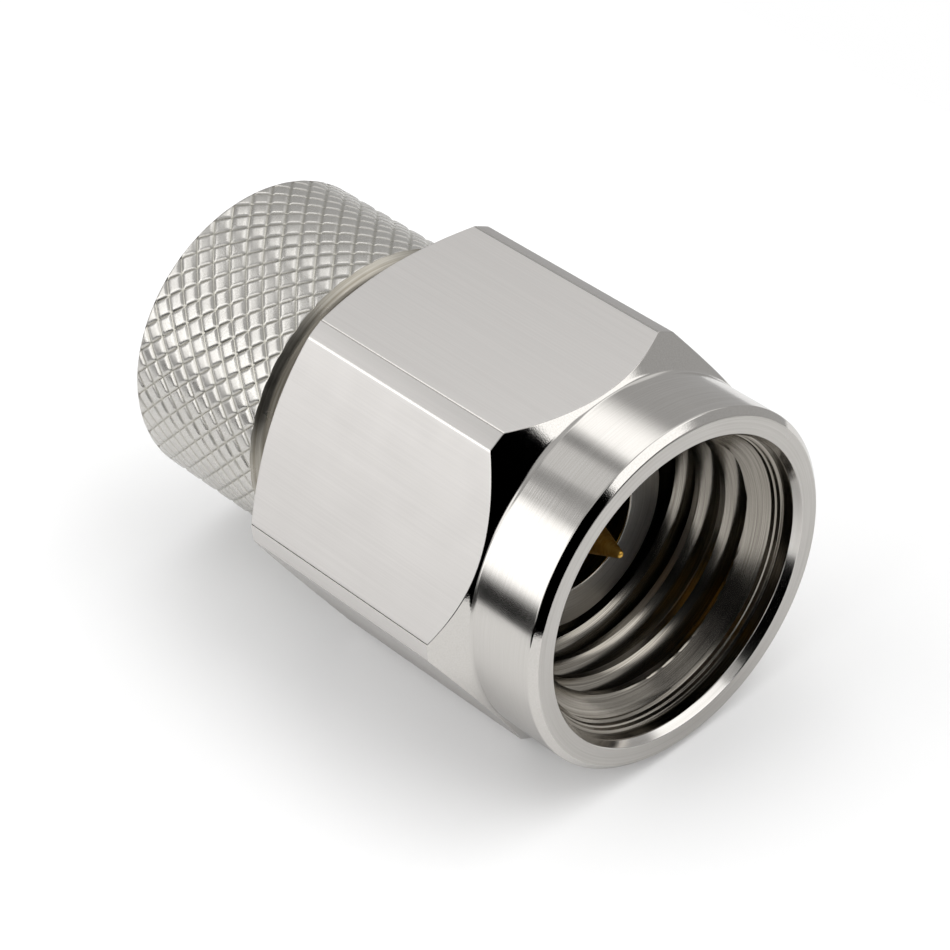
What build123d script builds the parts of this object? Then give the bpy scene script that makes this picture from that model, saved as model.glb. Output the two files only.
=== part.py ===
from build123d import *
import os
from math import cos, radians, sin, tan

os.makedirs("parts", exist_ok=True)

# A coaxial terminator: a plug with a turned hexagon coupling nut on a knurled load housing.
# Lengths are millimetres. X runs along the axis and out of the mouth, and x = 0 is the mating face.
# Z is square to one pair of the nut's flats, so the part lies on its lower flat.

# Mating interface
face_bore = 1.46
face_rim = 2.295
face_edge = 0.06
line_radius = 0.635
pin_radius = 0.457
pin_reach = 1.25
pin_tip_radius = 0.088
pin_taper = 19
pin_setback = 0.05
pin_shoulder_edge = 0.05

# Coupling nut, outside
nut_front = 2.90
nut_rear = -5.15
across_flats = 8.0
corner_radius = 4.5
ring_radius = 3.95
ring_length = 1.757
cone_length = 0.646
front_face_rim = 3.807
front_chamfer_length = 0.148
rear_face_rim = 3.90
rear_chamfer_angle = 30

# Coupling nut, inside
mouth_radius = 3.32
mouth_depth = 0.68
mouth_chamfer = 0.102
mouth_chamfer_length = 0.19
countersink_radius = 3.17
countersink_length = 0.34
thread_minor = 2.78
thread_rear = -0.55
relief_radius = 3.25
relief_length = 0.80
bearing_lead_in = 0.20

# Bearing of the nut on the front body, and the snap ring between them
bearing_radius = 2.80
bearing_clearance = 0.05
snap_centre = -2.62
snap_width = 0.50
snap_inner = 2.45
snap_outer = 3.22
snap_opening = 1.0
snap_side_play = 0.02
snap_outer_play = 0.04
snap_floor = 2.10
nut_float = 0.10

# Front body behind the mating face
nose_length = 1.00
nose_cone = 0.505
bead_front = -4.20
bead_length = 1.00
bead_radius = 1.93
bead_neck = 0.45
clamp_length = 0.80
spigot_radius = 2.45
spigot_length = 1.44
assembly_gap = 0.02

# Knurled housing
housing_front = -5.76
housing_rear = -9.90
housing_radius = 3.455
housing_front_chamfer = 0.32
housing_rear_chamfer = 0.10
housing_floor = 0.55

# Diamond knurl
knurl_starts = 40
knurl_pitch = 0.532
knurl_groove = 0.10
knurl_depth = 0.045

# Load
stud_radius = 0.25
stud_length = 0.70
socket_length = 1.80
socket_slot_length = 0.60
cap_radius = 0.46
cap_wall = 0.06
cap_length = 0.65
cap_grip = 0.55
contact_slots = 4
contact_slot_width = 0.12
taper_end = 0.62
sleeve_gap = 0.05
collet_radius = 0.80
collet_length = 0.60
collet_slot_length = 0.45
plate_thickness = 0.20
spring_thickness = 0.09
spring_height = 0.15
spring_inner = 1.30
spring_outer = 2.30

# Places along the axis, worked out from the sizes
ring_rear = nut_front - ring_length
mouth_floor = nut_front - mouth_depth
relief_rear = thread_rear - relief_length
snap_front = snap_centre + snap_width / 2
snap_rear = snap_centre - snap_width / 2
bead_rear = bead_front - bead_length
clamp_rear = bead_rear - clamp_length
spigot_rear = housing_front - spigot_length
socket_rear = bead_rear - socket_length
floor_face = housing_rear + housing_floor
plate_rear = floor_face + spring_height
plate_front = plate_rear + plate_thickness
collet_front = plate_front + collet_length
cap_front = socket_rear + cap_grip
resistor_front = cap_front - cap_wall
resistor_rear = plate_front + cap_wall

# Radii of what fits together
nut_bore = bearing_radius + bearing_clearance
recess_radius = bead_radius + assembly_gap
housing_bore = spigot_radius + assembly_gap
cap_seat = cap_radius + assembly_gap
resistor_radius = cap_radius - cap_wall - assembly_gap

# Coupling nut: hexagon bar, its front turned down to a ring and its corners turned to a circle
rear_chamfer = (corner_radius - rear_face_rim) * tan(radians(rear_chamfer_angle))
mouth_edge = mouth_radius + mouth_chamfer
nut_groove = snap_outer + snap_outer_play
with BuildPart() as coupling_nut:
    with BuildSketch(Plane.YZ.offset(nut_rear)):
        RegularPolygon(across_flats / 2, 6, major_radius=False)
    extrude(amount=nut_front - nut_rear)
    with BuildSketch(Plane.XZ):
        with BuildLine():
            Polyline(
                (nut_front, 0),
                (nut_front, front_face_rim),
                (nut_front - front_chamfer_length, ring_radius),
                (ring_rear, ring_radius),
                (ring_rear - cone_length, corner_radius),
                (nut_rear + rear_chamfer, corner_radius),
                (nut_rear, rear_face_rim),
                (nut_rear, 0),
                close=True,
            )
        make_face()
    revolve(axis=Axis.X, mode=Mode.INTERSECT)
    # Mouth, countersink, thread at its minor radius, relief, and the bearing bore with its ring groove
    with BuildSketch(Plane.XZ):
        with BuildLine():
            Polyline(
                (nut_front, 0),
                (nut_front, mouth_edge),
                (nut_front - mouth_chamfer_length, mouth_radius),
                (mouth_floor, mouth_radius),
                (mouth_floor, countersink_radius),
                (mouth_floor - countersink_length, thread_minor),
                (thread_rear, thread_minor),
                (thread_rear, relief_radius),
                (relief_rear, relief_radius),
                (relief_rear, nut_bore),
                (snap_front + snap_side_play, nut_bore),
                (snap_front + snap_side_play, nut_groove),
                (snap_rear - snap_side_play, nut_groove),
                (snap_rear - snap_side_play, nut_bore),
                (nut_rear + bearing_lead_in, nut_bore),
                (nut_rear, nut_bore + bearing_lead_in),
                (nut_rear, 0),
                close=True,
            )
        make_face()
    revolve(axis=Axis.X, mode=Mode.SUBTRACT)
coupling_nut.part.label = "coupling_nut"
export_step(coupling_nut.part, "parts/coupling_nut.step")

# Snap ring, open on one side so that it can be closed into the body's groove when the nut goes on
with BuildPart() as snap_ring:
    with BuildSketch(Plane.YZ.offset(snap_rear)):
        Circle(snap_outer)
        Circle(snap_inner, mode=Mode.SUBTRACT)
        Rectangle(snap_opening, snap_outer + snap_outer_play, align=(Align.CENTER, Align.MIN), mode=Mode.SUBTRACT)
    extrude(amount=snap_width)
snap_ring.part.label = "snap_ring"
export_step(snap_ring.part, "parts/snap_ring.step")

# Outer conductor: the front body, with the mating face, the nut's bearing and the bead's recess
groove_play = snap_side_play + nut_float
with BuildPart() as outer_conductor:
    with BuildSketch(Plane.XZ):
        with BuildLine():
            Polyline(
                (0, face_bore + face_edge),
                (0, face_rim - face_edge),
                (-face_edge, face_rim),
                (-nose_length, face_rim),
                (-nose_length - nose_cone, bearing_radius),
                (snap_front + groove_play, bearing_radius),
                (snap_front + groove_play, snap_floor),
                (snap_rear - groove_play, snap_floor),
                (snap_rear - groove_play, bearing_radius),
                (housing_front, bearing_radius),
                (housing_front, spigot_radius),
                (spigot_rear, spigot_radius),
                (spigot_rear, recess_radius),
                (bead_front, recess_radius),
                (bead_front, face_bore),
                (-face_edge, face_bore),
                close=True,
            )
        make_face()
    revolve(axis=Axis.X)
outer_conductor.part.label = "outer_conductor"
export_step(outer_conductor.part, "parts/outer_conductor.step")

# Centre pin: a round-nosed cone, the shoulder, the line's inner conductor, the bead's neck and a stud
pin_cone_end = pin_reach - pin_tip_radius + pin_tip_radius * sin(radians(pin_taper)) - (
    pin_radius - pin_tip_radius * cos(radians(pin_taper))
) / tan(radians(pin_taper))
with BuildPart() as centre_pin:
    with BuildSketch(Plane.XZ):
        with BuildLine():
            nose = CenterArc((pin_reach - pin_tip_radius, 0), pin_tip_radius, 0, 90 - pin_taper)
            Polyline(
                nose @ 1,
                (pin_cone_end, pin_radius),
                (-pin_setback, pin_radius),
                (-pin_setback, line_radius - pin_shoulder_edge),
                (-pin_setback - pin_shoulder_edge, line_radius),
                (bead_front, line_radius),
                (bead_front, bead_neck),
                (bead_rear, bead_neck),
                (bead_rear, stud_radius),
                (bead_rear - stud_length, stud_radius),
                (bead_rear - stud_length, 0),
                nose @ 0,
            )
        make_face()
    revolve(axis=Axis.X)
centre_pin.part.label = "centre_pin"
export_step(centre_pin.part, "parts/centre_pin.step")

# Support bead: an insulating disc on the pin's neck
with BuildPart() as support_bead:
    with BuildSketch(Plane.YZ.offset(bead_rear)):
        Circle(bead_radius)
        Circle(bead_neck + assembly_gap, mode=Mode.SUBTRACT)
    extrude(amount=bead_length)
support_bead.part.label = "support_bead"
export_step(support_bead.part, "parts/support_bead.step")

# Clamp ring: holds the bead against the body's shoulder
with BuildPart() as bead_clamp_ring:
    with BuildSketch(Plane.YZ.offset(clamp_rear)):
        Circle(bead_radius)
        Circle(face_bore, mode=Mode.SUBTRACT)
    extrude(amount=clamp_length)
bead_clamp_ring.part.label = "bead_clamp_ring"
export_step(bead_clamp_ring.part, "parts/bead_clamp_ring.step")

# Resistor socket: screws on the pin's stud behind the bead, and grips the front cap in slotted fingers
stud_hole = stud_radius + assembly_gap
stud_hole_end = bead_rear - stud_length - assembly_gap
with BuildPart() as resistor_socket:
    with BuildSketch(Plane.XZ):
        with BuildLine():
            Polyline(
                (stud_hole_end, 0),
                (stud_hole_end, stud_hole),
                (bead_rear, stud_hole),
                (bead_rear, line_radius),
                (socket_rear, line_radius),
                (socket_rear, cap_seat),
                (cap_front, cap_seat),
                (cap_front, 0),
                close=True,
            )
        make_face()
    revolve(axis=Axis.X)
    with BuildSketch(Plane.YZ.offset(socket_rear)):
        with PolarLocations(0, contact_slots):
            Rectangle(line_radius + assembly_gap, contact_slot_width, align=(Align.MIN, Align.CENTER))
    extrude(amount=socket_slot_length, mode=Mode.SUBTRACT)
resistor_socket.part.label = "resistor_socket"
export_step(resistor_socket.part, "parts/resistor_socket.step")

# Resistor: a plain ceramic rod, which carries the film, between two metal end caps
with BuildPart() as resistor_rod:
    with BuildSketch(Plane.YZ.offset(resistor_rear)):
        Circle(resistor_radius)
    extrude(amount=resistor_front - resistor_rear)
resistor_rod.part.label = "resistor_rod"
export_step(resistor_rod.part, "parts/resistor_rod.step")

with BuildPart() as resistor_front_cap:
    with BuildSketch(Plane.YZ.offset(cap_front)):
        Circle(cap_radius)
    extrude(amount=-cap_length)
    with BuildSketch(Plane.YZ.offset(resistor_front)):
        Circle(resistor_radius + assembly_gap)
    extrude(amount=cap_wall - cap_length, mode=Mode.SUBTRACT)
resistor_front_cap.part.label = "resistor_front_cap"
export_step(resistor_front_cap.part, "parts/resistor_front_cap.step")

with BuildPart() as resistor_rear_cap:
    with BuildSketch(Plane.YZ.offset(plate_front)):
        Circle(cap_radius)
    extrude(amount=cap_length)
    with BuildSketch(Plane.YZ.offset(resistor_rear)):
        Circle(resistor_radius + assembly_gap)
    extrude(amount=cap_length - cap_wall, mode=Mode.SUBTRACT)
resistor_rear_cap.part.label = "resistor_rear_cap"
export_step(resistor_rear_cap.part, "parts/resistor_rear_cap.step")

# Load sleeve: the outer conductor round the resistor, tapered so that the line fades into the film
taper_rear = collet_front + sleeve_gap
with BuildPart() as load_sleeve:
    with BuildSketch(Plane.XZ):
        with BuildLine():
            Polyline(
                (clamp_rear, face_bore),
                (clamp_rear, bead_radius),
                (spigot_rear - sleeve_gap, bead_radius),
                (spigot_rear - sleeve_gap, spigot_radius),
                (plate_front, spigot_radius),
                (plate_front, collet_radius + sleeve_gap),
                (taper_rear, collet_radius + sleeve_gap),
                (taper_rear, taper_end),
                (socket_rear, face_bore),
                close=True,
            )
        make_face()
    revolve(axis=Axis.X)
load_sleeve.part.label = "load_sleeve"
export_step(load_sleeve.part, "parts/load_sleeve.step")

# Ground plate: closes the sleeve, and its slotted collet grips the rear cap
with BuildPart() as ground_plate:
    with BuildSketch(Plane.YZ.offset(plate_rear)):
        Circle(spigot_radius)
    extrude(amount=plate_thickness)
    with BuildSketch(Plane.YZ.offset(plate_front)):
        Circle(collet_radius)
        Circle(cap_seat, mode=Mode.SUBTRACT)
    extrude(amount=collet_length)
    with BuildSketch(Plane.YZ.offset(collet_front)):
        with PolarLocations(0, contact_slots):
            Rectangle(collet_radius + assembly_gap, contact_slot_width, align=(Align.MIN, Align.CENTER))
    extrude(amount=-collet_slot_length, mode=Mode.SUBTRACT)
ground_plate.part.label = "ground_plate"
export_step(ground_plate.part, "parts/ground_plate.step")

# Disc spring: a coned washer that keeps the load pressed forward as it warms
with BuildPart() as disc_spring:
    with BuildSketch(Plane.XZ):
        with BuildLine():
            Polyline(
                (plate_rear, spring_inner),
                (plate_rear - spring_thickness, spring_inner),
                (floor_face, spring_outer),
                (floor_face + spring_thickness, spring_outer),
                close=True,
            )
        make_face()
    revolve(axis=Axis.X)
disc_spring.part.label = "disc_spring"
export_step(disc_spring.part, "parts/disc_spring.step")

# Knurled housing: a cup screwed on the body's spigot, closed behind
# Its knurl is two sets of V grooves of opposite hand, near 45 degrees, with rows of square pads between.
# Every second row is turned by half a pad, and four pads meet at each crossing of two grooves.
knurl_front = housing_front - housing_front_chamfer
knurl_rear = housing_rear + housing_rear_chamfer
knurl_length = knurl_front - knurl_rear
knurl_rows = round(2 * knurl_length / knurl_pitch)
row_step = knurl_length / knurl_rows
half_turn = 180 / knurl_starts
half_pad = housing_radius * radians(half_turn)
groove_spacing = 2 * row_step * half_pad / (row_step**2 + half_pad**2) ** 0.5
pad_share = 1 - knurl_groove / groove_spacing
root_radius = housing_radius - knurl_depth


def around(x, turn, radius):
    """The point at x along the axis, a turn about it in degrees, and a radius."""
    return Vector(x, radius * cos(radians(turn)), radius * sin(radians(turn)))


def pad_corner(x, turn, side):
    """The corner of a pad's flat top, on one side of its middle line."""
    return around(x, turn + side * pad_share * half_turn, housing_radius / cos(radians(pad_share * half_turn)))


def facet(*points):
    """A flat face between points."""
    return Face(Wire.make_polygon(points, close=True))


def knurl_pad(x, turn, ends):
    """One pad's top and the groove flanks on its sides. Ends are 1 for its front half and -1 for its rear."""
    left, right = pad_corner(x, turn, -1), pad_corner(x, turn, 1)
    tips = [around(x + end * pad_share * row_step, turn, housing_radius) for end in ends]
    faces = [facet(left, tips[0], right, *tips[1:])]
    for end, tip in zip(ends, tips):
        crossing = around(x + end * row_step, turn, root_radius)
        for side, corner in ((-1, left), (1, right)):
            beside = around(x, turn + side * half_turn, root_radius)
            faces += [facet(tip, corner, crossing), facet(corner, beside, crossing)]
    return faces


def knurl_end(x, row):
    """The flat end of the knurled band, through the middle of a row of pads."""
    outline = []
    for start in range(knurl_starts):
        turn = (2 * start + row % 2) * half_turn
        beside = around(x, turn + half_turn, root_radius)
        outline += [pad_corner(x, turn, -1), pad_corner(x, turn, 1), beside]
    return facet(*outline)


knurl = [knurl_end(knurl_front, 0), knurl_end(knurl_rear, knurl_rows)]
for row in range(knurl_rows + 1):
    ends = [end for end in (1, -1) if 0 <= row - end <= knurl_rows]
    for start in range(knurl_starts):
        knurl += knurl_pad(knurl_front - row * row_step, (2 * start + row % 2) * half_turn, ends)
knurl_band = Solid(Shell(knurl))

with BuildPart() as knurled_housing:
    add(knurl_band)
    # The chamfered rims in front of the knurl and behind it
    with BuildSketch(Plane.XZ):
        with BuildLine():
            Polyline(
                (knurl_front, 0),
                (knurl_front, housing_radius),
                (housing_front, housing_radius - housing_front_chamfer),
                (housing_front, 0),
                close=True,
            )
        make_face()
        with BuildLine():
            Polyline(
                (knurl_rear, 0),
                (knurl_rear, housing_radius),
                (housing_rear, housing_radius - housing_rear_chamfer),
                (housing_rear, 0),
                close=True,
            )
        make_face()
    revolve(axis=Axis.X, clean=False)
    with BuildSketch(Plane.YZ.offset(housing_front)):
        Circle(housing_bore)
    extrude(amount=floor_face - housing_front, mode=Mode.SUBTRACT, clean=False)
knurled_housing.part.label = "knurled_housing"
export_step(knurled_housing.part, "parts/knurled_housing.step")
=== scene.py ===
from math import acos, pi, radians, tan

import bpy
import numpy as np
from mathutils import Matrix, Vector


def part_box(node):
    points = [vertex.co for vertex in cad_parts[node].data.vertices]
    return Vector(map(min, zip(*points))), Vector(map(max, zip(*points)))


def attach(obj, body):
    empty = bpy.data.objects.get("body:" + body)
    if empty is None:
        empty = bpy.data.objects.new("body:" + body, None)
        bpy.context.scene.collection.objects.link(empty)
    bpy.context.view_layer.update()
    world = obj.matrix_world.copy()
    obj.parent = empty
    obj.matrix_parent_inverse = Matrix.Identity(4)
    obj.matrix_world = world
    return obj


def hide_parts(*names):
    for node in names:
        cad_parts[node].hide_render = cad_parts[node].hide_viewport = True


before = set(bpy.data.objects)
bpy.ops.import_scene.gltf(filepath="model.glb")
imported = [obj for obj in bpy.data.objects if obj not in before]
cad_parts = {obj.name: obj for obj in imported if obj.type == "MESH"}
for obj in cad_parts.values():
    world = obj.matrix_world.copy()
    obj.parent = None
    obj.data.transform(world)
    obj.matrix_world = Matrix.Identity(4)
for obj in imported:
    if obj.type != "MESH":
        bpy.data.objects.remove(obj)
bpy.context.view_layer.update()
mm = 0.001  # one millimetre in metres; lengths below are in millimetres

# Camera: a long lens from the front, above and one side, turned a little about its line of sight
camera = {
    "place": (40.22, -34.50, 45.81),  # from the centre of the mating face
    "forward": (-0.60078, 0.47856, -0.64035),
    "up": (-0.42923, 0.48266, 0.76342),
    "lens": 133.17,
    "sensor": 36.0,
    "near": 1,
    "far": 2000,
}

forward = Vector(camera["forward"]).normalized()
right = forward.cross(Vector(camera["up"])).normalized()
upward = right.cross(forward)
turn = Matrix((right, upward, -forward)).transposed().to_4x4()
cameraData = bpy.data.cameras.new("studioCamera")
cameraData.lens = camera["lens"]
cameraData.sensor_width = camera["sensor"]
cameraData.clip_start = camera["near"] * mm
cameraData.clip_end = camera["far"] * mm
studioCamera = bpy.data.objects.new("studioCamera", cameraData)
studioCamera.matrix_world = Matrix.Translation(Vector(camera["place"]) * mm) @ turn
bpy.context.scene.collection.objects.link(studioCamera)
bpy.context.scene.camera = studioCamera
bpy.context.scene.view_settings.view_transform = "Standard"
print("camera placed")


def linearColour(code):
    # sRGB hex to linear light: each channel c is c / 12.92 below 0.04045, else ((c + 0.055) / 1.055) ^ 2.4
    channels = [int(code[start:start + 2], 16) / 255 for start in (1, 3, 5)]
    return (*[c / 12.92 if c <= 0.04045 else ((c + 0.055) / 1.055) ** 2.4 for c in channels], 1.0)


def addNode(tree, kind, inputs=None, **settings):
    # Adds one shader node, gives it its settings, and links or sets each named input
    node = tree.nodes.new("ShaderNode" + kind)
    for name, value in settings.items():
        setattr(node, name, value)
    for key, value in (inputs or {}).items():
        if isinstance(value, bpy.types.NodeSocket):
            tree.links.new(value, node.inputs[key])
        else:
            node.inputs[key].default_value = value
    return node


# Light: soft boxes and dark flags round the object, each a patch of sky given by where it stands
# Turn runs from +X towards +Y and rise is above the horizon, in degrees; strength 1 is white
studio = {
    "ground": 0.46,  # everything that no box or flag covers
    "boxes": [  # turn, rise, half width, half height, softness, strength
        (170, 82, 180, 18, 10, 0.56),  # overhead
        (105, 2, 38, 26, 12, 0.47),  # wall on the right
        (-122, 21, 20, 18, 6, 1.85),  # left, behind
        (-97, 38, 15, 14, 8, 1.45),  # left, high
        (108, 40, 15, 22, 10, 0.90),  # right, half high
        (146, 54, 22, 13, 14, 1.65),  # behind, high
        (-172, 52, 24, 10, 5, 0.82),  # between the two
        (-160, 35, 17, 8, 5, 1.80),  # under that
        (174, 53, 5, 9, 6, 0.30),  # dark frame of one box
        (-152, 51, 4, 7, 5, 0.34),  # dark frame of the other
        (36, 50, 43, 20, 7, 1.60),  # right, in front
        (12, 8, 22, 18, 10, 0.04),  # dark card under it
        (-40, 18, 37, 41, 5, 0.0),  # dark flag round the camera
        (-105, -8, 40, 7, 3, 0.0),  # dark room past the table's edge
    ],
    "fillSpread": 56,  # degrees of sky that each fill lamp covers
    "fills": [  # wide lamps that no metal reflects: share of white, degrees from overhead, turn
        (0.27, 8, 50),
        (0.12, 52, 45),
        (0.15, 52, -130),
    ],
}


def makeWorld(settings):
    # A direction's turn is atan2(y, x) and its rise is asin(z). A box's mask is the product of two smooth
    # steps, one in turn and one in rise, and it mixes the light so far with the box's strength.
    world = bpy.data.worlds.new("softStudio")
    world.use_nodes = True
    tree = world.node_tree
    tree.nodes.clear()
    direction = addNode(tree, "TexCoord").outputs["Generated"]
    axes = addNode(tree, "SeparateXYZ", {0: direction}).outputs
    turned = addNode(tree, "Math", {0: axes[1], 1: axes[0]}, operation="ARCTAN2").outputs[0]
    risen = addNode(tree, "Math", {0: axes[2]}, operation="ARCSINE").outputs[0]
    light = settings["ground"]
    for turnTo, riseTo, halfWidth, halfHeight, softness, strength in settings["boxes"]:
        offset = addNode(tree, "Math", {0: turned, 1: radians(turnTo)}, operation="SUBTRACT").outputs[0]
        wrapped = addNode(tree, "Math", {0: offset, 1: pi, 2: -pi}, operation="WRAP").outputs[0]
        lifted = addNode(tree, "Math", {0: risen, 1: radians(riseTo)}, operation="SUBTRACT").outputs[0]
        masks = []
        for away, half in ((wrapped, halfWidth), (lifted, halfHeight)):
            distance = addNode(tree, "Math", {0: away}, operation="ABSOLUTE").outputs[0]
            inner, outer = radians(half - softness / 2), radians(half + softness / 2)
            span = {0: distance, 1: inner, 2: outer, 3: 1.0, 4: 0.0}
            masks.append(addNode(tree, "MapRange", span, interpolation_type="SMOOTHSTEP").outputs[0])
        mask = addNode(tree, "Math", {0: masks[0], 1: masks[1]}, operation="MULTIPLY").outputs[0]
        layers = {"Factor": mask, "A": light, "B": strength}
        light = addNode(tree, "Mix", layers, data_type="FLOAT").outputs[0]
    seen = addNode(tree, "LightPath").outputs["Is Camera Ray"]
    shown = addNode(tree, "Mix", {"Factor": seen, "A": light, "B": 1.0}, data_type="FLOAT").outputs[0]
    background = addNode(tree, "Background", {"Color": (1, 1, 1, 1), "Strength": shown})
    addNode(tree, "OutputWorld", {"Surface": background.outputs[0]})
    bpy.context.scene.world = world
    for share, tilt, swing in settings["fills"]:
        lamp = bpy.data.lights.new("fillLamp", "SUN")
        lamp.energy = share * pi  # a lamp of pi watts a square metre lights white paper to 1
        lamp.angle = radians(settings["fillSpread"])
        fill = bpy.data.objects.new("fillLamp", lamp)
        fill.rotation_euler = (0, radians(tilt), radians(swing))
        fill.visible_glossy = False
        bpy.context.scene.collection.objects.link(fill)


makeWorld(studio)

# Table: white-painted board, which the camera sees as pure white wherever the object doesn't shade it
table = {
    "front": 17.0,  # the table is a small one, so metal shows the room past its edges
    "left": -21.8,
    "right": 20.0,
    "back": -300.0,
    "colour": "#E9E9E9",
    "lift": 0.15,  # glow that only the camera sees
}


def makeTable(settings):
    # One flat rectangle at the level of the nut's lowest flat
    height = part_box("coupling_nut")[0].z
    front, back, left, right = (settings[side] * mm for side in ("front", "back", "left", "right"))
    mesh = bpy.data.meshes.new("table")
    corners = [(back, left, height), (front, left, height), (front, right, height), (back, right, height)]
    mesh.from_pydata(corners, [], [(0, 1, 2, 3)])
    sheet = bpy.data.objects.new("table", mesh)
    bpy.context.scene.collection.objects.link(sheet)
    material = bpy.data.materials.new("paintedBoard")
    material.use_nodes = True
    tree = material.node_tree
    tree.nodes.clear()
    matt = addNode(tree, "BsdfDiffuse", {"Color": linearColour(settings["colour"])}).outputs[0]
    seen = addNode(tree, "LightPath").outputs["Is Camera Ray"]
    strength = addNode(tree, "Math", {0: seen, 1: settings["lift"]}, operation="MULTIPLY").outputs[0]
    glow = addNode(tree, "Emission", {"Strength": strength}).outputs[0]
    both = addNode(tree, "AddShader", {0: matt, 1: glow}).outputs[0]
    addNode(tree, "OutputMaterial", {"Surface": both})
    mesh.materials.append(material)


makeTable(table)
print("light and table ready")

# Finishes: each metal is named for what it is and how its surface was made; some colours hold painted
# shade, as their comments say
# Tool marks are a lineWidth apart and a lineDepth deep, and where they are turned, they lie across the sum
# of x and slant times radius. Mottle is how far the roughness wanders, as a share of itself.
finishes = {
    "turnedStainless": {  # 303 stainless, fine turned: reflections smear along the axis
        "colour": "#D2CFCB", "second": "#CBC8C3", "roughness": 0.12, "anisotropy": 0.70,
        "grain": "turned", "slant": -1.0, "lineWidth": 0.030, "lineDepth": 0.0003, "mottle": 0.12,
    },
    "polishedStainless": {  # the form cutter leaves cones and chamfers nearly bright, with a fine tooth
        "colour": "#D4D1CD", "second": "#CBC8C3", "roughness": 0.055, "anisotropy": 0.20,
        "grain": "blasted", "slant": 0.0, "lineWidth": 0.028, "lineDepth": 0.0007, "mottle": 0.05,
    },
    "facedStainless": {  # faced end, satin
        "colour": "#CBC8C4", "second": "#C0BDB8", "roughness": 0.30, "anisotropy": 0.20,
        "grain": "turned", "slant": 1.0, "lineWidth": 0.040, "lineDepth": 0.0006, "mottle": 0.10,
    },
    "boredStainless": {  # bored and threaded inside
        "colour": "#AFAAA1", "second": "#857F76", "roughness": 0.19, "anisotropy": 0.50,
        "grain": "turned", "slant": 1.0, "lineWidth": 0.035, "lineDepth": 0.0008, "mottle": 0.15,
    },
    "counterboreStainlessPaintedShade": {  # the mouth's plain wall; its dark colours are painted shade, standing in for the dark inside of the mouth that it reflects
        "colour": "#837D73", "second": "#4F4A43", "roughness": 0.15, "anisotropy": 0.60,
        "grain": "turned", "slant": 0.3, "lineWidth": 0.030, "lineDepth": 0.0005, "mottle": 0.15,
    },
    "satinStainless": {  # faced deep in the mouth, where the tool leaves a duller face
        "colour": "#CBC8C3", "second": "#B9B6B0", "roughness": 0.44, "anisotropy": 0.20,
        "grain": "turned", "slant": 1.0, "lineWidth": 0.040, "lineDepth": 0.0005, "mottle": 0.10,
    },
    "linishedStainless": {  # bar flats, brushed with a fine belt
        "colour": "#D6D3D0", "second": "#D2CFCC", "roughness": 0.34, "anisotropy": 0.35,
        "grain": "brushed", "slant": 0.0, "lineWidth": 0.035, "lineDepth": 0.0001, "mottle": 0.06,
    },
    "knurledStainless": {  # pads left by a knurling wheel, blasted; the grooves' darker colour is painted shade
        "colour": "#D9D7D3", "second": "#C8C5BF", "roughness": 0.28, "anisotropy": 0.0,
        "grain": "blasted", "slant": 0.0, "lineWidth": 0.028, "lineDepth": 0.0008, "mottle": 0.15,
        "groove": "#A9A69A",  # painted shade in the grooves, all of it below the first radius and none above the second
        "grooveFloor": 3.418, "grooveTop": 3.446,
    },
    "chamferStainlessPaintedShade": {  # the housing's chamfer, turned with a worn tool and dull; its darker colours are painted shade, standing in for the dark surroundings it reflects
        "colour": "#B9B5AC", "second": "#8F897D", "roughness": 0.32, "anisotropy": 0.50,
        "grain": "turned", "slant": -1.0, "lineWidth": 0.080, "lineDepth": 0.0012, "mottle": 0.20,
    },
    "goldPlate": {  # hard gold over nickel, on beryllium copper
        "colour": "#FFD170", "second": "#F2BC52", "roughness": 0.40, "anisotropy": 0.70,
        "grain": "turned", "slant": 1.0, "lineWidth": 0.025, "lineDepth": 0.0004, "mottle": 0.08,
    },
    "springBronze": {  # rolled phosphor bronze strip
        "colour": "#C69A6A", "second": "#B58A5C", "roughness": 0.28, "anisotropy": 0.20,
        "grain": "brushed", "slant": 0.0, "lineWidth": 0.030, "lineDepth": 0.0005, "mottle": 0.15,
    },
}
noise = {  # what every metal's tool marks and clouds share
    "lineDetail": 3.0,
    "lineRoughness": 0.6,
    "lineRange": (0.35, 0.65),  # of the noise, from the first colour to the second
    "strokeLength": 4.0,  # mm, of a brushed line
    "cloudsPerMm": 1.5,
    "cloudDetail": 4.0,
    "cloudRange": (0.3, 0.7),  # of the noise, from the glossiest to the dullest
}


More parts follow.
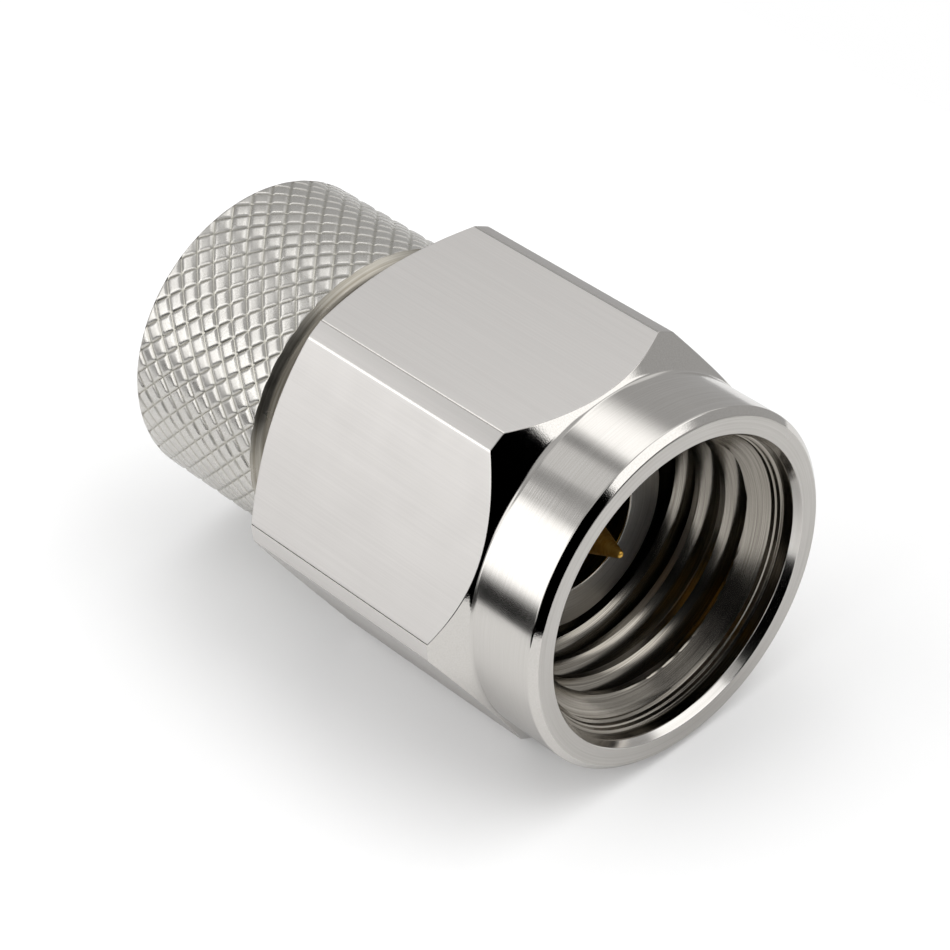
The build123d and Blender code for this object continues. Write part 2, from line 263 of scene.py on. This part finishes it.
def makeMetal(name, look):
    # Fine lines are noise squeezed across the grain and drawn out along it, and they tilt the surface
    material = bpy.data.materials.new(name)
    material.use_nodes = True
    tree = material.node_tree
    tree.nodes.clear()
    place = addNode(tree, "TexCoord").outputs["Object"]
    lengths = addNode(tree, "VectorMath", {0: place, "Scale": 1 / mm}, operation="SCALE").outputs[0]
    x, y, z = addNode(tree, "SeparateXYZ", {0: lengths}).outputs
    across = addNode(tree, "CombineXYZ", {1: y, 2: z}).outputs[0]
    out = addNode(tree, "VectorMath", {0: across}, operation="LENGTH").outputs["Value"]
    if look["grain"] == "turned":
        slanted = {0: out, 1: look["slant"], 2: x}
        along = addNode(tree, "Math", slanted, operation="MULTIPLY_ADD").outputs[0]
        level = addNode(tree, "VectorMath", {0: across}, operation="NORMALIZE").outputs[0]
        level = addNode(tree, "SeparateXYZ", {0: level}).outputs
        squeezed = addNode(tree, "Math", {0: along, 1: look["lineWidth"]}, operation="DIVIDE").outputs[0]
        grain = addNode(tree, "CombineXYZ", {0: squeezed, 1: level[1], 2: level[2]}).outputs[0]
        arms = {0: (1, 0, 0), 1: place}
        tangent = addNode(tree, "VectorMath", arms, operation="CROSS_PRODUCT").outputs[0]
    else:
        fine = 1 / look["lineWidth"]
        lengthwise = 1 / noise["strokeLength"] if look["grain"] == "brushed" else fine
        squeeze = {0: lengths, 1: (lengthwise, fine, fine)}
        grain = addNode(tree, "VectorMath", squeeze, operation="MULTIPLY").outputs[0]
        tangent = addNode(tree, "CombineXYZ", {0: 1.0}).outputs[0]
    lines = addNode(tree, "TexNoise", {
        "Vector": grain, "Scale": 1.0, "Detail": noise["lineDetail"], "Roughness": noise["lineRoughness"],
    }).outputs[0]
    cloud = addNode(tree, "TexNoise", {
        "Vector": lengths, "Scale": noise["cloudsPerMm"], "Detail": noise["cloudDetail"],
    }).outputs[0]
    low, high = noise["lineRange"]
    share = addNode(tree, "MapRange", {0: lines, 1: low, 2: high}).outputs[0]
    colour = addNode(tree, "Mix", {
        "Factor": share, "A": linearColour(look["colour"]), "B": linearColour(look["second"]),
    }, data_type="RGBA").outputs["Result"]
    # Painted shade: below grooveFloor the colour is the darker groove colour, and above grooveTop it is
    # left as it is
    if "groove" in look:
        span = {0: out, 1: look["grooveFloor"], 2: look["grooveTop"]}
        aboveGrooveShade = addNode(tree, "MapRange", span).outputs[0]
        colour = addNode(tree, "Mix", {
            "Factor": aboveGrooveShade, "A": linearColour(look["groove"]), "B": colour,
        }, data_type="RGBA").outputs["Result"]
    low, high = noise["cloudRange"]
    rough, mottle = look["roughness"], look["mottle"]
    gloss = addNode(tree, "MapRange", {
        0: cloud, 1: low, 2: high, 3: rough * (1 - mottle), 4: rough * (1 + mottle),
    }).outputs[0]
    tilt = addNode(tree, "Bump", {
        "Height": lines, "Distance": look["lineDepth"] * mm, "Strength": 1.0,
    }).outputs[0]
    shader = addNode(tree, "BsdfPrincipled", {
        "Base Color": colour, "Metallic": 1.0, "Roughness": gloss,
        "Anisotropic": look["anisotropy"], "Normal": tilt, "Tangent": tangent,
    })
    addNode(tree, "OutputMaterial", {"Surface": shader.outputs[0]})
    return material


metals = {name: makeMetal(name, look) for name, look in finishes.items()}
print("finishes ready")

# Edges: each corner of a turned profile is broken by a small arc
rounding = {
    "arcCells": 3,  # cells of the grid along each arc
    "support": 1.25,  # a row stands this many cuts from the corner, so that the side beside it shades flat
    "legShare": 0.38,  # the most that an arc takes of the shorter side beside it
}
rowsPerCorner = rounding["arcCells"] + 3  # the arc's rows and a supporting row either side
halfCorner = rowsPerCorner // 2  # rows of a corner before one finish gives way to the next


def roundedLine(corners, columns):
    # A line through corners (along, out, cut), each corner softened by a parabolic arc:
    # (1 - t)^2 start + 2 t (1 - t) corner + t^2 end, where start and end lie a cut away from the corner
    values = np.array([[np.broadcast_to(value, columns) for value in corner] for corner in corners], float)
    points, cuts = values[:, :2], values[:, 2]
    rows = [points[0]]
    for before, here, after, cut in zip(points, points[1:], points[2:], cuts[1:]):
        towards = [before - here, after - here]
        lengths = [np.linalg.norm(leg, axis=0) for leg in towards]
        reach = np.minimum(cut, rounding["legShare"] * np.minimum(*lengths))
        start, end = [here + leg / length * reach for leg, length in zip(towards, lengths)]
        rows.append(here + (start - here) * rounding["support"])
        for t in np.linspace(0, 1, rounding["arcCells"] + 1):
            rows.append((1 - t) ** 2 * start + 2 * t * (1 - t) * here + t ** 2 * end)
        rows.append(here + (end - here) * rounding["support"])
    rows.append(points[-1])
    return np.array(rows)


def turnedPoints(along, out, angles):
    # A point a distance along the axis and out from it, at an angle from straight up towards +Y:
    # y = out x sin(angle), z = out x cos(angle)
    return np.stack([along + 0 * angles, out * np.sin(angles), out * np.cos(angles)], axis=-1)


def gridTriangles(rowCount, columnCount):
    # Two triangles for each cell of a grid whose columns run round and meet
    row, column = np.meshgrid(np.arange(rowCount - 1), np.arange(columnCount), indexing="ij")
    beside = (column + 1) % columnCount
    a, b = row * columnCount + column, row * columnCount + beside
    c, d = a + columnCount, b + columnCount
    return np.stack([a, b, d, a, d, c], axis=-1).reshape(-1, 3)


def buildPiece(name, parts, materials, body, node, sharpDegrees=35):
    # Each part is points, triangles and a material's number
    stepsPerMm = 1e5  # points that agree to 10 nanometres become one
    points = np.concatenate([part[0].reshape(-1, 3) for part in parts])
    starts = np.cumsum([0] + [part[0].size // 3 for part in parts[:-1]])
    triangles = np.concatenate([part[1] + start for part, start in zip(parts, starts)])
    finish = np.concatenate([np.broadcast_to(part[2], len(part[1])) for part in parts])
    rounded = np.round(points * stepsPerMm).astype(np.int64)
    _, first, same = np.unique(rounded, axis=0, return_index=True, return_inverse=True)
    triangles = same.reshape(-1)[triangles]
    a, b, c = triangles.T
    keep = (a != b) & (b != c) & (c != a)
    used, triangles = np.unique(triangles[keep], return_inverse=True)
    triangles, finish, first = triangles.reshape(-1, 3), finish[keep], first[used]
    mesh = bpy.data.meshes.new(name)
    mesh.vertices.add(len(first))
    mesh.vertices.foreach_set("co", (points[first] * mm).astype(np.float32).ravel())
    mesh.loops.add(triangles.size)
    mesh.loops.foreach_set("vertex_index", triangles.astype(np.int32).ravel())
    mesh.polygons.add(len(triangles))
    mesh.polygons.foreach_set("loop_start", np.arange(0, triangles.size, 3, dtype=np.int32))
    mesh.polygons.foreach_set("material_index", finish.astype(np.int32))
    mesh.polygons.foreach_set("use_smooth", np.ones(len(triangles), bool))
    mesh.update(calc_edges=True)
    mesh.set_sharp_from_angle(angle=radians(sharpDegrees))
    for material in materials:
        mesh.materials.append(metals[material])
    piece = bpy.data.objects.new(name, mesh)
    bpy.context.scene.collection.objects.link(piece)
    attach(piece, body)
    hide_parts(node)
    print(name, "built,", len(triangles), "triangles")


def boxInMm(node):
    low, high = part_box(node)
    return low / mm, high / mm


# Coupling nut: hexagon bar with a turned ring in front, coned at both ends, and a threaded mouth
# Lengths run back from the front face; names that end in Front or Rear are places on the frame's x
nut = {
    "cornerRadius": 4.5,
    "ringRadius": 3.95,
    "ringLength": 1.757,
    "coneLength": 0.646,
    "faceRim": 3.807,
    "chamferLength": 0.148,
    "rearFaceRim": 3.90,
    "rearChamferAngle": 30,  # degrees off the rear face
    "mouthRadius": 3.32,
    "mouthChamfer": 0.102,
    "mouthChamferLength": 0.19,
    "mouthDepth": 0.70,
    # fine tool lines on the mouth's wall, each corner as a depth and a radius
    "mouthSteps": ((0.425, 3.310), (0.445, 3.246), (0.540, 3.242), (0.558, 3.205), (0.655, 3.200)),
    "countersinkRadius": 3.15,
    "countersinkLength": 0.30,
    "threadMinor": 2.78,
    "threadMajor": 3.153,
    "threadPitch": 25.4 / 36,
    "threadCrest": 0.150,
    "threadRoot": 0.076,
    "threadShoulder": 0.280,  # the flank that faces the mouth, worn round at its top
    "shoulderBend": 0.42,
    "threadPhase": 0.092,  # of a turn, where the thread starts
    "threadCells": (8, 8, 5, 15),  # cells of the grid on the crest, rear flank, root and shoulder
    "spareTurns": 4,  # for the thread's start, its phase, the seam and rounding down
    "threadRear": -0.55,
    "runOut": 0.20,
    "reliefRadius": 3.25,
    "reliefLength": 0.80,
    "boreRadius": 2.85,
    "leadIn": 0.20,
    "grooveRadius": 3.26,
    "grooveFront": -2.35,
    "grooveRear": -2.89,
    "edge": 0.022,  # how far each edge is broken
    "barEdge": 0.7,  # the share of that on the hexagon's ends
    "stepEdge": 0.006,
    "ringEdge": 0.07,
    "softEdge": 0.015,  # between each flat and its corner strip
    "shinyEdge": 0.32,  # degrees either side of a flat's edge
    "edgeColumns": (-0.6, -0.3, -0.15, 0.0, 0.15, 0.3, 0.6),  # degrees from a flat's edge
    "flatColumns": 18,
    "stripColumns": 3,
}


def softLesser(first, second, blend):
    # The lesser of two, less (blend - difference)^2 / 4 blend where they are nearly equal
    return np.minimum(first, second) - np.maximum(blend - np.abs(first - second), 0) ** 2 / (4 * blend)


def nutAngles(apothem):
    # Columns of one sixth, from a flat's middle over its edge and the corner strip to the next flat's
    # middle. A flat's edge stands acos(apothem / corner radius) from its middle.
    corner = acos(apothem / nut["cornerRadius"])
    beside = np.radians(nut["edgeColumns"])
    flat = np.linspace(0, corner + beside[0], nut["flatColumns"] + 1)[:-1]
    strip = np.linspace(corner + beside[-1], pi / 3 - corner + beside[0], nut["stripColumns"] + 1)[1:-1]
    farEdge = pi / 3 - corner + beside
    sixth = np.concatenate([flat, corner + beside, strip, farEdge, pi / 3 - flat[:0:-1]])
    return np.concatenate([sixth + side * pi / 3 for side in range(6)])


def threadRows(angles, front, rear):
    # One pitch of the profile is a crest, a flank, a root and a shoulder, and it repeats for each turn:
    # x = front + pitch x (1 + phase) - place in the profile - pitch x angle / 360 degrees.
    # The shoulder faces the mouth and bends: its depth is (1 - bend) w + bend w^2 of the whole, where w
    # is 0 at the crest and 1 at the root. Rows past either end are folded onto it, and two cones cut the
    # rest.
    pitch, cells = nut["threadPitch"], nut["threadCells"]
    shoulder, bend = nut["threadShoulder"], nut["shoulderBend"]
    flank = pitch - nut["threadCrest"] - nut["threadRoot"] - shoulder
    knots = np.cumsum([0, nut["threadCrest"], flank, nut["threadRoot"], shoulder])
    places = np.concatenate([
        np.linspace(start, end, count + 1)[:-1] for start, end, count in zip(knots, knots[1:], cells)])
    depths = np.interp(places, knots, [0, 0, 1, 1, 0])
    depths = np.where(places > knots[3], (1 - bend) * depths + bend * depths ** 2, depths)
    turns = int((front - rear) / pitch) + nut["spareTurns"]
    back = (places[None] + pitch * np.arange(turns)[:, None]).ravel()
    out = np.tile(nut["threadMinor"] + (nut["threadMajor"] - nut["threadMinor"]) * depths, turns)
    along = front + pitch * (1 + nut["threadPhase"] % 1) - back[:, None] - pitch * angles[None] / (2 * pi)
    out = np.broadcast_to(out[:, None], along.shape)
    coneSlope = (nut["countersinkRadius"] - nut["threadMinor"]) / nut["countersinkLength"]
    frontCone = nut["countersinkRadius"] - (front - along) * coneSlope
    rearFall = nut["reliefRadius"] - nut["threadMinor"]
    rearCone = nut["reliefRadius"] - (along - rear) * rearFall / nut["runOut"]
    out = np.maximum(np.maximum(out, frontCone), rearCone)
    out = np.where(along <= rear, nut["reliefRadius"], out)
    out = np.where(along >= front, nut["countersinkRadius"], out)
    return np.clip(along, rear, front), out


def threadTriangles(rowCount, columnCount, perTurn):
    # As gridTriangles, but after a full turn a row meets the row one pitch further back
    row, column = np.meshgrid(np.arange(rowCount - 1 - perTurn), np.arange(columnCount), indexing="ij")
    last = column == columnCount - 1
    beside = np.where(last, 0, column + 1)
    shift = np.where(last, perTurn, 0)
    a, b = row * columnCount + column, (row + shift) * columnCount + beside
    c, d = a + columnCount, b + columnCount
    first = np.stack([a, d, b, a, c, d], axis=-1).reshape(-1, 3)
    # In front of the seam, the first column's rows of one turn all meet the last column's first row
    row = np.arange(perTurn)
    e, f = row * columnCount, (row + 1) * columnCount
    seam = columnCount - 1
    head = np.stack([np.full(perTurn, seam), f, e], axis=-1)
    return np.concatenate([first, head])


def buildNut():
    # The bar's radius is apothem / cos(angle from the nearest flat's middle), softly held to the corner
    # radius. The cone ends at ring's rear - length x (bar - ring) / (corner - ring), and the rear chamfer
    # starts at rear + (bar - rear rim) x tan(its angle), so both follow the bar's radius.
    low, high = boxInMm("coupling_nut")
    front, rear, apothem = high.x, low.x, high.z
    angles = nutAngles(apothem)
    columns = len(angles)
    away = np.abs((angles + pi / 6) % (pi / 3) - pi / 6)
    bar = softLesser(apothem / np.cos(away), np.full(columns, nut["cornerRadius"]), nut["softEdge"])
    ringRear = front - nut["ringLength"]
    coneHeight = nut["cornerRadius"] - nut["ringRadius"]
    coneEnd = ringRear - nut["coneLength"] * (bar - nut["ringRadius"]) / coneHeight
    chamfer = tan(radians(nut["rearChamferAngle"]))
    chamferFront = rear + (bar - nut["rearFaceRim"]) * chamfer
    edge, barEdge = nut["edge"], nut["edge"] * nut["barEdge"]
    mouthFloor = front - nut["mouthDepth"]
    mouthEdge = nut["mouthRadius"] + nut["mouthChamfer"]
    mouth = [(mouthFloor, nut["countersinkRadius"], 0)]
    mouth += [(front - depth, radius, nut["stepEdge"]) for depth, radius in reversed(nut["mouthSteps"])]
    mouth += [(front - nut["mouthChamferLength"], nut["mouthRadius"], edge), (front, mouthEdge, edge)]
    middle = (nut["faceRim"] + mouthEdge) / 2
    outside = [
        (front, middle, 0),
        (front, nut["faceRim"], edge),
        (front - nut["chamferLength"], nut["ringRadius"], edge),
        (ringRear, nut["ringRadius"], nut["ringEdge"]),
        (coneEnd, bar, barEdge),
        (chamferFront, bar, barEdge),
        (rear, nut["rearFaceRim"], edge),
        (rear, nut["boreRadius"] + nut["leadIn"], edge),
        (rear + nut["leadIn"], nut["boreRadius"], edge),
        (nut["grooveRear"], nut["boreRadius"], edge),
        (nut["grooveRear"], nut["grooveRadius"], edge),
        (nut["grooveFront"], nut["grooveRadius"], edge),
        (nut["grooveFront"], nut["boreRadius"], edge),
        (nut["threadRear"] - nut["reliefLength"], nut["boreRadius"], edge),
        (nut["threadRear"] - nut["reliefLength"], nut["reliefRadius"], edge),
        (nut["threadRear"], nut["reliefRadius"], 0),
    ]
    mouthRows = roundedLine(mouth + [(front, middle, 0)], columns)
    outsideRows = roundedLine(outside, columns)
    along, out = threadRows(angles, mouthFloor, nut["threadRear"])
    names = ["facedStainless", "polishedStainless", "turnedStainless", "linishedStainless",
             "boredStainless", "counterboreStainlessPaintedShade"]
    faced, polished, turned, linished, bored, paintedShadeWall = range(len(names))
    rowFinish = np.full(len(outsideRows) - 1, faced)
    # After the face come the chamfer, ring, cone, flats, rear chamfer, rear face and bore, and each finish
    # starts within the corner between two of them
    outsideFinishes = (polished, turned, polished, linished, polished, faced, bored)
    for number, finish in enumerate(outsideFinishes):
        rowFinish[1 + rowsPerCorner * number + halfCorner:] = finish
    outsideFinish = np.repeat(rowFinish[:, None], columns, axis=1)
    corner = acos(apothem / nut["cornerRadius"])
    fromCorner = np.abs(away[None] - corner)  # the broken edges beside each flat shine
    middles = (fromCorner + np.roll(fromCorner, -1, axis=1)) / 2
    shiny = (outsideFinish == linished) & (middles < radians(nut["shinyEdge"]))
    outsideFinish = np.where(shiny, polished, outsideFinish)
    mouthFinish = np.full(len(mouthRows) - 1, bored)
    # The counterbore wall takes the darker finish, whose colour is painted shade
    mouthFinish[-(2 * rowsPerCorner + 1 + halfCorner):] = paintedShadeWall
    mouthFinish[-(rowsPerCorner + 1 + halfCorner):] = turned
    mouthFinish[-halfCorner:] = faced
    parts = [
        (turnedPoints(mouthRows[:, 0], mouthRows[:, 1], angles),
         gridTriangles(len(mouthRows), columns), np.repeat(mouthFinish, 2 * columns)),
        (turnedPoints(outsideRows[:, 0], outsideRows[:, 1], angles),
         gridTriangles(len(outsideRows), columns), np.repeat(outsideFinish.ravel(), 2)),
        (turnedPoints(along, out, angles),
         threadTriangles(len(along), columns, sum(nut["threadCells"])), bored),
    ]
    buildPiece("couplingNut", parts, names, "coupling_nut", "coupling_nut")


buildNut()

# Front body: its ring-shaped mating face is seen deep in the mouth
frontBody = {
    "bore": 1.46,
    "rim": 2.295,
    "faceEdge": 0.025,
    "noseLength": 1.00,
    "noseCone": 0.505,
    "bearing": 2.80,
    "grooveFront": -2.25,
    "grooveRear": -2.99,
    "grooveFloor": 2.10,
    "shoulder": -5.76,  # on the frame's x, as the grooves and the recess are
    "spigot": 2.45,
    "recess": 1.95,
    "recessFront": -4.20,
    "edge": 0.02,
    "columns": 240,
}


def buildFrontBody():
    # One closed profile of x and radius r, turned round the axis: y = r sin(angle), z = r cos(angle)
    low, high = boxInMm("outer_conductor")
    front, rear, edge = high.x, low.x, frontBody["edge"]
    angles = np.linspace(0, 2 * pi, frontBody["columns"], endpoint=False)
    middle = (frontBody["bore"] + frontBody["rim"]) / 2
    face = frontBody["faceEdge"]
    profile = [
        (front, middle, 0),
        (front, frontBody["rim"] - face, edge),
        (front - face, frontBody["rim"], edge),
        (front - frontBody["noseLength"], frontBody["rim"], edge),
        (front - frontBody["noseLength"] - frontBody["noseCone"], frontBody["bearing"], edge),
        (frontBody["grooveFront"], frontBody["bearing"], edge),
        (frontBody["grooveFront"], frontBody["grooveFloor"], edge),
        (frontBody["grooveRear"], frontBody["grooveFloor"], edge),
        (frontBody["grooveRear"], frontBody["bearing"], edge),
        (frontBody["shoulder"], frontBody["bearing"], edge),
        (frontBody["shoulder"], frontBody["spigot"], edge),
        (rear, frontBody["spigot"], edge),
        (rear, frontBody["recess"], edge),
        (frontBody["recessFront"], frontBody["recess"], edge),
        (frontBody["recessFront"], frontBody["bore"], edge),
        (front - face, frontBody["bore"], edge),
        (front, frontBody["bore"] + face, edge),
        (front, middle, 0),
    ]
    rows = roundedLine(profile, len(angles))
    names = ["satinStainless", "boredStainless"]
    satin, bored = range(len(names))
    finish = np.full(len(rows) - 1, bored)
    finish[:1 + halfCorner] = satin
    finish[-(1 + halfCorner):] = satin
    part = (turnedPoints(rows[:, 0], rows[:, 1], angles), gridTriangles(len(rows), len(angles)),
            np.repeat(finish, 2 * len(angles)))
    buildPiece("frontBody", [part], names, "terminator_body", "outer_conductor")


buildFrontBody()

# Centre pin: a gold-plated cone with a round tip, in front of the line's inner conductor
pin = {
    "radius": 0.457,
    "tipRadius": 0.088,
    "taper": 19,  # degrees from the axis
    "tipRows": 10,
    "shoulder": -0.05,  # on the frame's x, as the bead's two sides are
    "shoulderEdge": 0.05,
    "lineRadius": 0.635,
    "beadFront": -4.20,
    "beadRear": -5.20,
    "neck": 0.45,
    "stud": 0.25,
    "edge": 0.015,
    "columns": 120,
}


def buildPin():
    # A round tip, x = centre + r cos(sweep) and radius r sin(sweep), that meets the cone at its own slope,
    # and behind it one profile turned round the axis
    low, high = boxInMm("centre_pin")
    tip, rear, edge = high.x, low.x, pin["edge"]
    angles = np.linspace(0, 2 * pi, pin["columns"], endpoint=False)
    taper = radians(pin["taper"])
    sweep = np.linspace(0, pi / 2 - taper, pin["tipRows"])  # from the axis out to the cone
    centre, tipRadius = tip - pin["tipRadius"], pin["tipRadius"]
    tipRows = np.stack([centre + tipRadius * np.cos(sweep), tipRadius * np.sin(sweep)], axis=-1)
    coneFront = tipRows[-1]
    coneRear = coneFront[0] - (pin["radius"] - coneFront[1]) / tan(taper)
    profile = [
        (*coneFront, 0),
        (coneRear, pin["radius"], edge),
        (pin["shoulder"], pin["radius"], edge),
        (pin["shoulder"], pin["lineRadius"] - pin["shoulderEdge"], edge),
        (pin["shoulder"] - pin["shoulderEdge"], pin["lineRadius"], edge),
        (pin["beadFront"], pin["lineRadius"], edge),
        (pin["beadFront"], pin["neck"], edge),
        (pin["beadRear"], pin["neck"], edge),
        (pin["beadRear"], pin["stud"], edge),
        (rear, pin["stud"], edge),
        (rear, 0, 0),
    ]
    behind = roundedLine(profile, len(angles))
    ahead = np.broadcast_to(tipRows[:-1, :, None], (len(tipRows) - 1, 2, len(angles)))
    rows = np.concatenate([ahead, behind])
    part = (turnedPoints(rows[:, 0], rows[:, 1], angles), gridTriangles(len(rows), len(angles)), 0)
    buildPiece("centrePin", [part], ["goldPlate"], "terminator_body", "centre_pin")


buildPin()

# Knurled housing: a cup behind the nut, with square pads left between two sets of grooves
housing = {
    "radius": 3.455,
    "frontChamfer": 0.32,
    "chamferMiddle": (0.14, 0.12),  # the chamfer is worn round; this point, back and in, is its knee
    "kneeEdge": 0.09,
    "rearChamfer": 0.10,
    "bore": 2.47,
    "floor": 0.55,
    "starts": 40,  # grooves of each set
    "pitch": 0.532,  # along the axis, from pad to pad
    "wideGroove": 0.160,  # the set that leans forward as it climbs
    "wideDepth": 0.025,
    "narrowGroove": 0.092,
    "narrowDepth": 0.030,
    "crown": 0.0035,  # how far a pad's middle stands above its edges
    "lip": 0.010,  # the broken edge between the knurl and each chamfer
    "edge": 0.02,
    "grooveSteps": (0.0, 0.026, 0.055, 0.088),  # lines of the grid beside a groove's middle
    "padCells": 2,  # cells from there to the pad's middle
}
housingFinishes = ["knurledStainless", "chamferStainlessPaintedShade", "facedStainless"]


def knurlPads(knurlFront, knurlRear):
    # A pad's coordinates p and q run from -1 to 1 between the grooves beside it. Its height is a low
    # crown, (1 - p^2)(1 - q^2) less a half, and less the deeper of two round grooves, each
    # cos^2(90 degrees x distance / half width).
    radius, starts = housing["radius"], housing["starts"]
    rowCount = round(2 * (knurlFront - knurlRear) / housing["pitch"])
    rowStep = (knurlFront - knurlRear) / rowCount
    halfTurn = pi / starts
    spacing = 2 * rowStep * radius * halfTurn / np.hypot(rowStep, radius * halfTurn)
    steps = 1 - np.array(housing["grooveSteps"]) / (spacing / 2)
    steps = np.concatenate([steps, np.linspace(steps[-1], 0, housing["padCells"] + 1)[1:]])
    steps = np.concatenate([-steps, steps[-2::-1]])
    count = len(steps)
    p, q = np.meshgrid(steps, steps, indexing="ij")
    cuts = []
    for side, width, depth in ((p, housing["wideGroove"], housing["wideDepth"]),
                               (q, housing["narrowGroove"], housing["narrowDepth"])):
        distance = (1 - np.abs(side)) * spacing / width
        cuts.append(depth * np.cos(pi / 2 * np.minimum(distance, 1)) ** 2)
    out = radius + housing["crown"] * ((1 - p ** 2) * (1 - q ** 2) - 0.5) - np.maximum(*cuts)
    i, j = np.meshgrid(np.arange(count - 1), np.arange(count - 1), indexing="ij")
    a, b = i * count + j, (i + 1) * count + j
    # Each cell is cut along p = -q, as the half pads at either end are
    cells = np.stack([a, a + 1, b, b, a + 1, b + 1], axis=-1).reshape(-1, 3)
    ahead = (p + q).ravel()[cells].mean(axis=1)
    parts = []
    for row in range(rowCount + 1):
        turns = (2 * np.arange(starts) + row % 2)[:, None, None] * halfTurn
        along = knurlFront + ((p + q) / 2 - row) * rowStep + 0 * turns
        points = turnedPoints(along, out + 0 * turns, turns + (p - q) / 2 * halfTurn)
        used = cells[ahead < 0] if row == 0 else cells[ahead > 0] if row == rowCount else cells
        triangles = (used + count ** 2 * np.arange(starts)[:, None, None]).reshape(-1, 3)
        parts.append((points, triangles, housingFinishes.index("knurledStainless")))
    ends = []
    for row in (0, rowCount):
        turns = (2 * np.arange(starts) + row % 2)[:, None] * halfTurn + steps[:-1] * halfTurn
        ends.append((turns.ravel(), np.tile(np.diagonal(out[:, ::-1])[:-1], starts)))
    return parts, ends


def buildHousing():
    # The pads, and a profile turned round the axis at either end of them, with the pads' own columns
    low, high = boxInMm("knurled_housing")
    front, rear, radius, edge = high.x, low.x, housing["radius"], housing["edge"]
    knurlFront, knurlRear = front - housing["frontChamfer"], rear + housing["rearChamfer"]
    parts, (frontEnd, rearEnd) = knurlPads(knurlFront, knurlRear)
    lip = housing["lip"]
    kneeDepth, kneeFall = housing["chamferMiddle"]
    floorFace = rear + housing["floor"]
    cup = [
        (front - kneeDepth, radius - kneeFall, housing["kneeEdge"]),
        (front, radius - housing["frontChamfer"], edge),
        (front, housing["bore"], edge),
        (floorFace, housing["bore"], edge),
        (floorFace, 0, 0),
    ]
    cup = [(knurlFront, frontEnd[1], 0), (knurlFront + lip, radius - lip / 2, lip / 2)] + cup
    back = [(knurlRear, rearEnd[1], 0), (knurlRear - lip, radius - lip / 2, lip / 2)]
    back += [(rear, radius - housing["rearChamfer"], edge), (rear, 0, 0)]
    # The cup's chamfer takes the finish whose darker colour is painted shade
    for profile, angles, finish, order in ((cup, frontEnd[0], "chamferStainlessPaintedShade", -1),
                                           (back, rearEnd[0], "facedStainless", 1)):
        rows = roundedLine(profile, len(angles))
        points = turnedPoints(rows[:, 0], rows[:, 1], angles)
        triangles = gridTriangles(len(rows), len(angles))[:, ::order]  # so that both face outwards
        parts.append((points, triangles, housingFinishes.index(finish)))
    buildPiece("knurledHousing", parts, housingFinishes, "terminator_body",
               "knurled_housing")


buildHousing()

# Inner pieces stay as the frame has them, each in its own finish
innerFinishes = {
    "snap_ring": "springBronze",
    "disc_spring": "springBronze",
    "bead_clamp_ring": "turnedStainless",
    "load_sleeve": "turnedStainless",
    "resistor_socket": "goldPlate",
    "resistor_front_cap": "goldPlate",
    "resistor_rear_cap": "goldPlate",
    "ground_plate": "goldPlate",
}
insulators = {
    "machinedPolyetherimide": {  # amber plastic, turned to a fine satin
        "colour": "#C98A34", "second": "#B4731F", "roughness": 0.38, "ior": 1.66,
        "grainSize": 0.25, "depth": 0.0010, "node": "support_bead",
    },
    "firedAlumina": {  # fine-grained ceramic with a thin resistive film
        "colour": "#8C8A86", "second": "#7A7773", "roughness": 0.52, "ior": 1.77,
        "grainSize": 0.04, "depth": 0.0015, "node": "resistor_rod",
    },
}


def makeInsulator(name, look):
    # Two close colours in clouds of the grain's size, which also tilt the surface
    material = bpy.data.materials.new(name)
    material.use_nodes = True
    tree = material.node_tree
    tree.nodes.clear()
    place = addNode(tree, "TexCoord").outputs["Object"]
    grains = {0: place, "Scale": 1 / (look["grainSize"] * mm)}
    scaled = addNode(tree, "VectorMath", grains, operation="SCALE").outputs[0]
    cloud = addNode(tree, "TexNoise", {
        "Vector": scaled, "Scale": 1.0, "Detail": noise["cloudDetail"],
    }).outputs[0]
    colour = addNode(tree, "Mix", {
        "Factor": cloud, "A": linearColour(look["colour"]), "B": linearColour(look["second"]),
    }, data_type="RGBA").outputs["Result"]
    tilt = addNode(tree, "Bump", {
        "Height": cloud, "Distance": look["depth"] * mm, "Strength": 1.0,
    }).outputs[0]
    shader = addNode(tree, "BsdfPrincipled", {
        "Base Color": colour, "Roughness": look["roughness"], "IOR": look["ior"], "Normal": tilt,
    })
    addNode(tree, "OutputMaterial", {"Surface": shader.outputs[0]})
    return material


def dressNode(node, material):
    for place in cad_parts[node].material_slots:
        place.material = material


for node, finish in innerFinishes.items():
    dressNode(node, metals[finish])
for name, look in insulators.items():
    dressNode(look["node"], makeInsulator(name, look))
print("inner pieces dressed")
